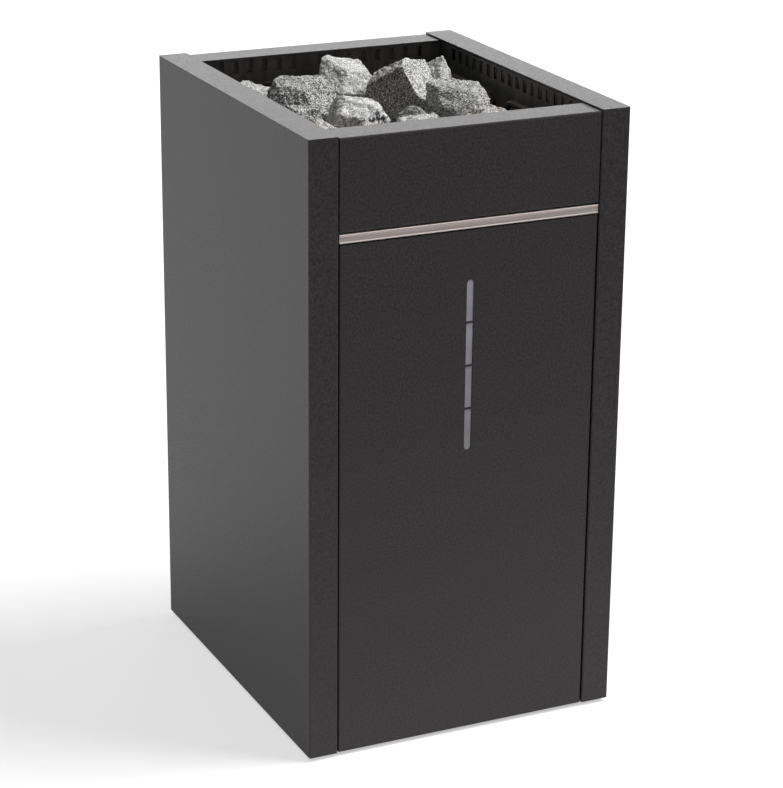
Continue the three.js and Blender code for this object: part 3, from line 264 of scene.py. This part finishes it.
def speckle(tree, size, detail=2.0, stretch=None):
    """Soft noise with marks of about the given size in metres."""
    texture = tree.nodes.new("ShaderNodeTexNoise")
    set_inputs(texture, Scale=1 / size, Detail=detail)
    tree.links.new(piece_place(tree, stretch), texture.inputs["Vector"])
    return texture.outputs[0]


def spread(tree, value, low, high, start=0.3, end=0.7):
    """Maps the part of a value from start to end onto a range."""
    ranged = tree.nodes.new("ShaderNodeMapRange")
    set_inputs(ranged, From_Min=start, From_Max=end, To_Min=low, To_Max=high)
    tree.links.new(value, ranged.inputs["Value"])
    return ranged.outputs[0]


def between(tree, share, first, second, blend="MIX"):
    """A colour between two colours or colour outputs; MULTIPLY tints the first with the second."""
    mix = tree.nodes.new("ShaderNodeMix")
    mix.data_type = "RGBA"
    mix.blend_type = blend
    feed(tree, share, mix.inputs[MIX_SHARE])
    feed(tree, first, mix.inputs[MIX_FIRST])
    feed(tree, second, mix.inputs[MIX_SECOND])
    return mix.outputs[MIX_RESULT]


def paint(tree, shader, colour, roughness):
    tree.links.new(colour, shader.inputs["Base Color"])
    tree.links.new(roughness, shader.inputs["Roughness"])


def rough_skin(tree, shader, height, depth, strength=1.0):
    bump = tree.nodes.new("ShaderNodeBump")
    set_inputs(bump, Distance=depth, Strength=strength)
    tree.links.new(height, bump.inputs["Height"])
    tree.links.new(bump.outputs[0], shader.inputs["Normal"])


def mottled(name, dark, light, mark, roughness, metallic=0.0, depth=0.0, stretch=None):
    """A surface that varies between two colours and round a roughness, with a fine skin."""
    surface, tree, shader = new_surface(name)
    marks = speckle(tree, mark, 3.0, stretch)
    colour = between(tree, spread(tree, marks, 0.0, 1.0), dark, light)
    broad_marks = speckle(tree, 3 * mark, 2.0, stretch)
    low = roughness - ROUGHNESS_SWING
    high = roughness + ROUGHNESS_SWING
    paint(tree, shader, colour, spread(tree, broad_marks, low, high))
    set_inputs(shader, Metallic=metallic)
    if depth:
        rough_skin(tree, shader, marks, depth)
    return surface


# Casing and its trim
def powder_coat():
    """Dark coat with the fine pebbled skin of baked powder, painted darker in the pebbles' valleys and
    lighter on their crests as painted shade and painted highlight.
    """
    shaded_valley_colour = (0.0042, 0.0035, 0.0037)
    lit_crest_colour = (0.0300, 0.0268, 0.0275)
    cloud = (0.0188, 0.0170, 0.0174)
    pebble_size = 2.6 * MM
    pebble_depth = 0.5 * MM
    cloud_size = 130 * MM
    surface, tree, shader = new_surface("powder_coat")
    pebbles = speckle(tree, pebble_size)
    broad = speckle(tree, cloud_size)
    # Painted shade in the pebbles' valleys and painted highlight on their crests, following the bump's
    # own noise
    painted_pebble_light = between(tree, spread(tree, pebbles, 0.0, 1.0), shaded_valley_colour, lit_crest_colour)
    colour = between(tree, spread(tree, broad, 0.0, 0.3), painted_pebble_light, cloud)
    paint(tree, shader, colour, spread(tree, pebbles, 0.42, 0.54))
    set_inputs(shader, Specular_IOR_Level=0.445, Specular_Tint=(1.0, 0.945, 0.965, 1))
    rough_skin(tree, shader, pebbles, pebble_depth, 0.8)
    return surface


def brushed_trim():
    return mottled(
        "brushed_trim",
        dark=(0.700, 0.617, 0.589),
        light=(0.755, 0.669, 0.639),
        mark=0.7 * MM,
        roughness=0.37,
        metallic=1.0,
        depth=0.003 * MM,
        stretch=(0.02, 1.0, 1.0),
    )


# Steel inside
def zinc_steel():
    """Zinc coat with its spangle of flat crystals."""
    spangle_size = 14 * MM
    dull_mark = 6 * MM
    surface, tree, shader = new_surface("zinc_steel")
    spangle = tree.nodes.new("ShaderNodeTexVoronoi")
    set_inputs(spangle, Scale=1 / spangle_size)
    tree.links.new(piece_place(tree), spangle.inputs["Vector"])
    share = spread(tree, spangle.outputs["Color"], 0.0, 1.0, 0.0, 1.0)
    colour = between(tree, share, (0.36, 0.37, 0.385), (0.49, 0.50, 0.51))
    paint(tree, shader, colour, spread(tree, speckle(tree, dull_mark, 3.0), 0.34, 0.5))
    set_inputs(shader, Metallic=1.0)
    return surface


# Darker zinc for the plates behind the slots: painted shade
def shade_darkened_zinc():
    return mottled(
        "shade_darkened_zinc",
        dark=(0.15, 0.142, 0.134),
        light=(0.225, 0.214, 0.202),
        mark=22 * MM,
        roughness=0.5,
        metallic=1.0,
        stretch=(1.0, 1.0, 0.3),
    )


def liner_steel():
    """Dark sheet with stains that run downward."""
    stain_size = 9 * MM
    grain_size = 1.2 * MM
    grain_depth = 0.04 * MM
    downward = (1.0, 1.0, 0.15)
    surface, tree, shader = new_surface("liner_steel")
    stain = spread(tree, speckle(tree, stain_size, 4.0, downward), 0.0, 1.0)
    colour = between(tree, stain, (0.030, 0.028, 0.027), (0.066, 0.062, 0.059))
    grain = speckle(tree, grain_size)
    paint(tree, shader, colour, spread(tree, grain, 0.42, 0.6))
    set_inputs(shader, Metallic=0.7)
    rough_skin(tree, shader, grain, grain_depth)
    return surface


def element_steel():
    """Tubes that heat has turned brown and scaly."""
    scale_size = 9 * MM
    grain_size = 1.0 * MM
    grain_depth = 0.05 * MM
    surface, tree, shader = new_surface("element_steel")
    scale_marks = spread(tree, speckle(tree, scale_size, 4.0), 0.0, 1.0)
    colour = between(tree, scale_marks, (0.0075, 0.0056, 0.0042), (0.022, 0.0160, 0.0115))
    grain = speckle(tree, grain_size)
    paint(tree, shader, colour, spread(tree, grain, 0.55, 0.75))
    set_inputs(shader, Metallic=0.5, Specular_IOR_Level=0.25)
    rough_skin(tree, shader, grain, grain_depth)
    return surface


def grate_iron():
    return mottled(
        "grate_iron",
        dark=(0.028, 0.025, 0.022),
        light=(0.07, 0.058, 0.048),
        mark=4 * MM,
        roughness=0.7,
        metallic=0.3,
        depth=0.1 * MM,
    )


# Light in the door
def frosted_plastic():
    """Clouded plastic, painted paler towards its upper end as painted light."""
    cloud_size = 26 * MM
    grain_size = 0.6 * MM
    grain_depth = 0.02 * MM
    surface, tree, shader = new_surface("frosted_plastic")
    low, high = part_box("light_diffuser")
    # Painted light: the plastic is paler towards its upper end
    painted_top_light = spread(tree, piece_axis(tree, "Z"), 0.0, 1.0, low.z, high.z)
    cloud = spread(tree, speckle(tree, cloud_size), 0.0, 1.0)
    lower = between(tree, cloud, (0.200, 0.199, 0.212), (0.250, 0.248, 0.264))
    upper = between(tree, cloud, (0.270, 0.265, 0.305), (0.340, 0.334, 0.384))
    grain = speckle(tree, grain_size)
    paint(tree, shader, between(tree, painted_top_light, lower, upper), spread(tree, grain, 0.4, 0.55))
    rough_skin(tree, shader, grain, grain_depth)
    return surface


def light_board():
    """White board with yellow lamps, told apart by how far forward they stand."""
    lamp_height = 1.0 * MM
    lamp_yellow = (0.75, 0.60, 0.12)
    cloud_size = 5 * MM
    surface, tree, shader = new_surface("light_board")
    low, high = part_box("light_board")
    front = low.y + 0.3 * lamp_height
    back = low.y + 0.9 * lamp_height
    on_lamp = spread(tree, piece_axis(tree, "Y"), 1.0, 0.0, front, back)
    cloud = spread(tree, speckle(tree, cloud_size), 0.0, 1.0)
    board = between(tree, cloud, (0.58, 0.60, 0.56), (0.68, 0.70, 0.66))
    colour = between(tree, on_lamp, board, lamp_yellow)
    paint(tree, shader, colour, spread(tree, cloud, 0.35, 0.5, 0.0, 1.0))
    return surface


# Small parts
def black_plastic():
    return mottled(
        "black_plastic",
        dark=(0.014, 0.014, 0.015),
        light=(0.024, 0.024, 0.025),
        mark=1.5 * MM,
        roughness=0.5,
        depth=0.02 * MM,
    )


def black_rubber():
    return mottled(
        "black_rubber",
        dark=(0.011, 0.011, 0.011),
        light=(0.02, 0.02, 0.02),
        mark=2 * MM,
        roughness=0.75,
        depth=0.03 * MM,
    )


def capillary_copper():
    return mottled(
        "capillary_metal",
        dark=(0.33, 0.13, 0.06),
        light=(0.47, 0.21, 0.10),
        mark=3 * MM,
        roughness=0.35,
        metallic=1.0,
    )


# Rock
def stain_and_shade_side(tree, colour, facing, tint, patch):
    """Darkens the side of a stone that looks in a direction, in patches of the given size; the darkening
    is painted shade, tinted brown on one stone as a stain.
    """
    towards = tree.nodes.new("ShaderNodeVectorMath")
    towards.operation = "DOT_PRODUCT"
    towards.inputs[1].default_value = facing
    tree.links.new(tree.nodes.new("ShaderNodeTexCoord").outputs["Normal"], towards.inputs[0])
    on_side = spread(tree, towards.outputs["Value"], 0.0, 1.0, SIDE_START, SIDE_END)
    in_patch = spread(tree, speckle(tree, patch), PATCH_LEAST, 1.0, PATCH_START, PATCH_END)
    share = result_of(tree, "MULTIPLY", on_side, in_patch)
    return between(tree, share, colour, tint, "MULTIPLY")


def crystal_kinds(tree):
    """A number for each crystal, whose outline wanders."""
    wander = tree.nodes.new("ShaderNodeTexNoise")
    set_inputs(wander, Scale=1 / CRYSTAL_WANDER, Detail=2.0)
    tree.links.new(piece_place(tree), wander.inputs["Vector"])
    bent = tree.nodes.new("ShaderNodeVectorMath")
    bent.operation = "MULTIPLY_ADD"
    bent.inputs[1].default_value = (CRYSTAL_BEND, CRYSTAL_BEND, CRYSTAL_BEND)
    tree.links.new(wander.outputs["Color"], bent.inputs[0])
    tree.links.new(piece_place(tree), bent.inputs[2])
    crystal = tree.nodes.new("ShaderNodeTexVoronoi")
    set_inputs(crystal, Scale=1 / CRYSTAL)
    tree.links.new(bent.outputs[0], crystal.inputs["Vector"])
    kind = tree.nodes.new("ShaderNodeSeparateColor")
    tree.links.new(crystal.outputs["Color"], kind.inputs[0])
    return kind.outputs[0]


def rock_surface(name):
    """Crystals of three shades and a finer salt of dark grains, as in granite and diabase."""
    dark, middle, light = ROCKS[name]
    surface, tree, shader = new_surface(name)
    patch = speckle(tree, ROCK_PATCH, 3.0)
    kind = result_of(tree, "MULTIPLY_ADD", patch, ROCK_PATCH_SHARE, crystal_kinds(tree))
    shade = tree.nodes.new("ShaderNodeValToRGB")
    shade.color_ramp.elements[0].position = DARK_PLACE
    shade.color_ramp.elements[0].color = (*dark, 1)
    shade.color_ramp.elements[1].position = LIGHT_PLACE
    shade.color_ramp.elements[1].color = (*light, 1)
    shade.color_ramp.elements.new(MIDDLE_PLACE).color = (*middle, 1)
    tree.links.new(spread(tree, kind, 0.0, 1.0, 0.0, LARGEST_KIND), shade.inputs[0])
    salt = spread(tree, speckle(tree, ROCK_SALT, 3.0), 0.0, SALT_COVER, SALT_START, SALT_END)
    colour = between(tree, salt, shade.outputs[0], dark)
    # Stain and painted shade on one side of some stones
    if name in STAIN_AND_SHADE_SIDES:
        colour = stain_and_shade_side(tree, colour, *STAIN_AND_SHADE_SIDES[name])
    grain = speckle(tree, ROCK_GRAIN, 3.0)
    paint(tree, shader, colour, spread(tree, grain, 0.7, 0.9))
    set_inputs(shader, Specular_IOR_Level=0.15)
    rough_skin(tree, shader, grain, ROCK_GRAIN_DEPTH)
    return surface


# Surface of each material slot
rocks = {name: rock_surface(name) for name in ROCKS}
surfaces = {
    "coat": powder_coat(),
    "trim_steel": brushed_trim(),
    "zinc_steel": zinc_steel(),
    "pin_steel": mottled("pin_steel", (0.50, 0.50, 0.51), (0.62, 0.62, 0.63), 2 * MM, 0.28, 1.0),
    "foot_steel": mottled("foot_steel", (0.27, 0.27, 0.28), (0.38, 0.38, 0.39), 3 * MM, 0.4, 1.0),
    "liner_steel": liner_steel(),
    "grate_iron": grate_iron(),
    "element_steel": element_steel(),
    "frosted_plastic": frosted_plastic(),
    "board": light_board(),
    "magnet": mottled("magnet", (0.024, 0.024, 0.026), (0.04, 0.04, 0.042), 2 * MM, 0.55),
    "black_plastic": black_plastic(),
    "black_rubber": black_rubber(),
    "red_plastic": mottled("red_plastic", (0.34, 0.024, 0.016), (0.42, 0.036, 0.024), 2 * MM, 0.3),
    "capillary_metal": capillary_copper(),
    "terminal_ceramic": mottled("terminal_ceramic", (0.69, 0.65, 0.56), (0.80, 0.76, 0.68), 3 * MM, 0.4),
    "stone": rocks["grey_stone"],
}
shade_darkened_surface = shade_darkened_zinc()

for name, node in nodes.items():
    node.data.materials.clear()
    plate_painted_darker = name in SHADE_DARKENED_PLATES
    node.data.materials.append(shade_darkened_surface if plate_painted_darker else surfaces[slot_of_node[name]])


# Stones with worn edges and broken faces, in the places of the plain ones
def finely_meshed(node, name, voxel):
    """A copy of a CAD solid with worn edges and an even mesh."""
    piece = bpy.data.objects.new(name, nodes[node].data.copy())
    scene.collection.objects.link(piece)
    piece.modifiers.new("weld", "WELD").merge_threshold = WELD_GAP
    worn = piece.modifiers.new("worn_edges", "BEVEL")
    worn.width = WORN_EDGE
    worn.segments = 2
    worn.limit_method = "ANGLE"
    even = piece.modifiers.new("even_mesh", "REMESH")
    even.mode = "VOXEL"
    even.voxel_size = voxel
    soft = piece.modifiers.new("soft", "SMOOTH")
    soft.iterations = 2
    finished = piece.evaluated_get(bpy.context.evaluated_depsgraph_get())
    mesh = bpy.data.meshes.new_from_object(finished)
    piece.modifiers.clear()
    piece.data = mesh
    return piece


def push_points(piece, height_at):
    """Moves each point of a piece along its normal, by the height at its place."""
    shifts = [vertex.normal * height_at(vertex.co) for vertex in piece.data.vertices]
    for vertex, shift in zip(piece.data.vertices, shifts):
        vertex.co += shift
    piece.data.update()


def broken_face(place):
    """Height of a broken face: broad dents, sharp breaks, chips and a fine grain."""
    dents = noise.noise(place / DENT_WIDTH) * DENT_DEPTH
    breaks = (noise.turbulence(place / BREAK_WIDTH, BREAK_OCTAVES, True) - BREAK_MIDDLE) * BREAK_DEPTH
    chips = noise.noise(place / CHIP_WIDTH) * CHIP_DEPTH
    grain = noise.noise(place / GRAIN_WIDTH) * GRAIN_DEPTH
    return dents + breaks + chips + grain


def broken_chunks(place):
    """Height that splits the heap into chunks, with seams between them and some sunk lower."""
    distances, centres = noise.voronoi(place / CHUNK)
    seam = max(0.0, 1 - (distances[1] - distances[0]) / SEAM_SHARE)
    sink = noise.cell(centres[0] * CHUNK_SHUFFLE)
    return -(seam * SEAM_DEPTH + sink * CHUNK_SINK)


def rough_stone(node, name, voxel, surface, in_chunks=False):
    piece = finely_meshed(node, name, voxel)
    if in_chunks:
        push_points(piece, broken_chunks)
    push_points(piece, broken_face)
    piece.data.materials.clear()
    piece.data.materials.append(surface)
    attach(piece, "cabinet")
    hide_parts(node)


for number in range(1, TOP_STONE_COUNT + 1):
    rock = rocks[ROCK_OF_STONE.get(number, "grey_stone")]
    rough_stone(f"top_stone_{number:02d}", f"stone_{number:02d}", STONE_VOXEL, rock)
rough_stone("stone_bed", "stone_heap", HEAP_VOXEL, surfaces["stone"], True)


# Screws of the connection box's cover
def ring_of(radius, height, hexagonal):
    """Points round a screw's axis, on a circle or on a hexagon."""
    points = []
    for number in range(SCREW_SIDES):
        angle = 2 * math.pi * number / SCREW_SIDES
        reach = radius
        if hexagonal:
            from_flat = angle % (math.pi / 3) - math.pi / 6
            reach = radius * math.cos(math.pi / 6) / math.cos(from_flat)
        points.append((reach * math.cos(angle), -height, reach * math.sin(angle)))
    return points


def socket_screw(name, place):
    """A domed head with a hexagonal socket, which looks out of the front."""
    rings = [ring_of(radius, height, False) for radius, height in SCREW_HEAD]
    rings += [ring_of(SOCKET_RADIUS, height, True) for height in (SCREW_HEAD[-1][1], SOCKET_FLOOR)]
    points = [point for ring in rings for point in ring]
    faces = [list(range(SCREW_SIDES))]
    for start in range(0, len(points) - SCREW_SIDES, SCREW_SIDES):
        for number in range(SCREW_SIDES):
            after = (number + 1) % SCREW_SIDES
            lower = (start + after, start + number)
            faces.append((*lower, start + SCREW_SIDES + number, start + SCREW_SIDES + after))
    faces.append([len(points) - 1 - number for number in range(SCREW_SIDES)])
    mesh = bpy.data.meshes.new(name)
    mesh.from_pydata(points, [], faces)
    mesh.materials.append(surfaces["pin_steel"])
    screw = bpy.data.objects.new(name, mesh)
    screw.location = place
    scene.collection.objects.link(screw)
    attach(screw, "cabinet")


cover_low, cover_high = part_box("terminal_box_cover")
for side, x in (("left", cover_low.x + SCREW_INSET), ("right", cover_high.x - SCREW_INSET)):
    for level, z in (("lower", cover_low.z + SCREW_INSET), ("upper", cover_high.z - SCREW_INSET)):
        socket_screw(f"cover_screw_{level}_{side}", (x, cover_low.y, z))


# Floor, light and camera
def outside_painted_shadow(tree, across, along):
    """Painted shadow under the casing: 0 on the floor well under it, and 1 from its outline outwards."""
    half = (cad_high - cad_low) / 2
    beyond_side = result_of(tree, "SUBTRACT", result_of(tree, "ABSOLUTE", across), half.x)
    beyond_front = result_of(tree, "SUBTRACT", result_of(tree, "ABSOLUTE", along), half.y)
    beyond = result_of(tree, "MAXIMUM", beyond_side, beyond_front)
    return spread(tree, beyond, 0.0, 1.0, -PAINTED_SHADOW_EDGE, 0.0)


def pale_floor():
    """White to the eye, under the heater's shadow; its mirror image dims towards the room in front."""
    surface, tree, shader = new_surface("pale_floor")
    path = tree.nodes.new("ShaderNodeLightPath")
    to_eye = path.outputs["Is Camera Ray"]
    to_mirror = path.outputs["Is Glossy Ray"]
    across = piece_axis(tree, "X")
    along = piece_axis(tree, "Y")
    in_front = spread(tree, along, 1.0, 0.0, FRONT_ROOM_Y, BRIGHT_FLOOR_Y)
    dimmed = result_of(tree, "MULTIPLY", in_front, to_mirror)
    cloud = spread(tree, speckle(tree, FLOOR_CLOUD), 0.0, 1.0)
    pale = between(tree, cloud, *PALE_FLOOR)
    mirror_image = between(tree, to_mirror, pale, MIRRORED_FLOOR)
    soft_shadow = between(tree, to_eye, mirror_image, SEEN_FLOOR)
    colour = between(tree, dimmed, soft_shadow, DIM_FLOOR)
    tree.links.new(colour, shader.inputs["Base Color"])
    set_inputs(shader, Roughness=0.9, Specular_IOR_Level=0.0)
    seen = result_of(tree, "MULTIPLY", to_eye, FLOOR_GLOW)
    mirrored = result_of(tree, "MULTIPLY", to_mirror, MIRRORED_GLOW)
    # The floor's glow is taken away under the casing, as a painted shadow
    clear_of_painted_shadow = outside_painted_shadow(tree, across, along)
    glow = result_of(tree, "MULTIPLY", result_of(tree, "ADD", seen, mirrored), clear_of_painted_shadow)
    tree.links.new(glow, shader.inputs["Emission Strength"])
    tree.links.new(between(tree, dimmed, WHITE, DIM_FLOOR), shader.inputs["Emission Color"])
    bpy.ops.mesh.primitive_plane_add(size=FLOOR_SIZE, location=(0, 0, 0))
    floor = bpy.context.object
    floor.name = "floor"
    floor.data.materials.append(surface)


def studio_world():
    """White to the eye and to reflections; a softer surround gives the light."""
    world = bpy.data.worlds.new("studio")
    scene.world = world
    world.use_nodes = True
    tree = world.node_tree
    tree.nodes.clear()
    path = tree.nodes.new("ShaderNodeLightPath")
    seen = result_of(tree, "MAXIMUM", path.outputs["Is Camera Ray"], path.outputs["Is Glossy Ray"])
    surround = tree.nodes.new("ShaderNodeBackground")
    set_inputs(surround, Color=(*SURROUND_TINT, 1), Strength=SURROUND_STRENGTH)
    white = tree.nodes.new("ShaderNodeBackground")
    set_inputs(white, Color=(*WHITE, 1), Strength=1.0)
    mix = tree.nodes.new("ShaderNodeMixShader")
    tree.links.new(seen, mix.inputs[0])
    tree.links.new(surround.outputs[0], mix.inputs[1])
    tree.links.new(white.outputs[0], mix.inputs[2])
    output = tree.nodes.new("ShaderNodeOutputWorld")
    tree.links.new(mix.outputs[0], output.inputs["Surface"])


def place_lamp(data, place, aim):
    lamp = bpy.data.objects.new(data.name, data)
    lamp.location = place
    lamp.rotation_mode = "QUATERNION"
    lamp.rotation_quaternion = (Vector(aim) - Vector(place)).to_track_quat("-Z", "Y")
    scene.collection.objects.link(lamp)
    return lamp


def key_light():
    """Wide, even light from far away, which mirrors don't show."""
    data = bpy.data.lights.new("key_light", "SUN")
    data.energy = KEY_STRENGTH
    data.angle = math.radians(KEY_WIDTH_DEGREES)
    lamp = place_lamp(data, KEY_PLACE, (0, 0, 0))
    lamp.visible_glossy = False


def back_light():
    """A soft box behind the heater, which the top flanges mirror."""
    data = bpy.data.lights.new("back_light", "AREA")
    data.shape = "RECTANGLE"
    data.size, data.size_y = BACK_SIZE
    data.energy = BACK_POWER
    place_lamp(data, BACK_PLACE, BACK_AIM)


def photo_camera():
    azimuth = math.radians(CAMERA_AZIMUTH)
    elevation = math.radians(CAMERA_ELEVATION)
    level = math.cos(elevation)
    back = Vector((math.sin(azimuth) * level, -math.cos(azimuth) * level, math.sin(elevation)))
    data = bpy.data.cameras.new("camera")
    data.sensor_width = SENSOR
    data.lens = FOCAL_PIXELS * SENSOR / PHOTO_HEIGHT
    camera = bpy.data.objects.new("camera", data)
    camera.location = CAMERA_TARGET + back * CAMERA_DISTANCE
    camera.rotation_mode = "QUATERNION"
    level_view = (-back).to_track_quat("-Z", "Y")
    camera.rotation_quaternion = level_view @ Quaternion((0, 0, 1), math.radians(CAMERA_ROLL))
    scene.collection.objects.link(camera)
    scene.camera = camera


scene.view_settings.view_transform = "Standard"
pale_floor()
studio_world()
key_light()
back_light()
photo_camera()
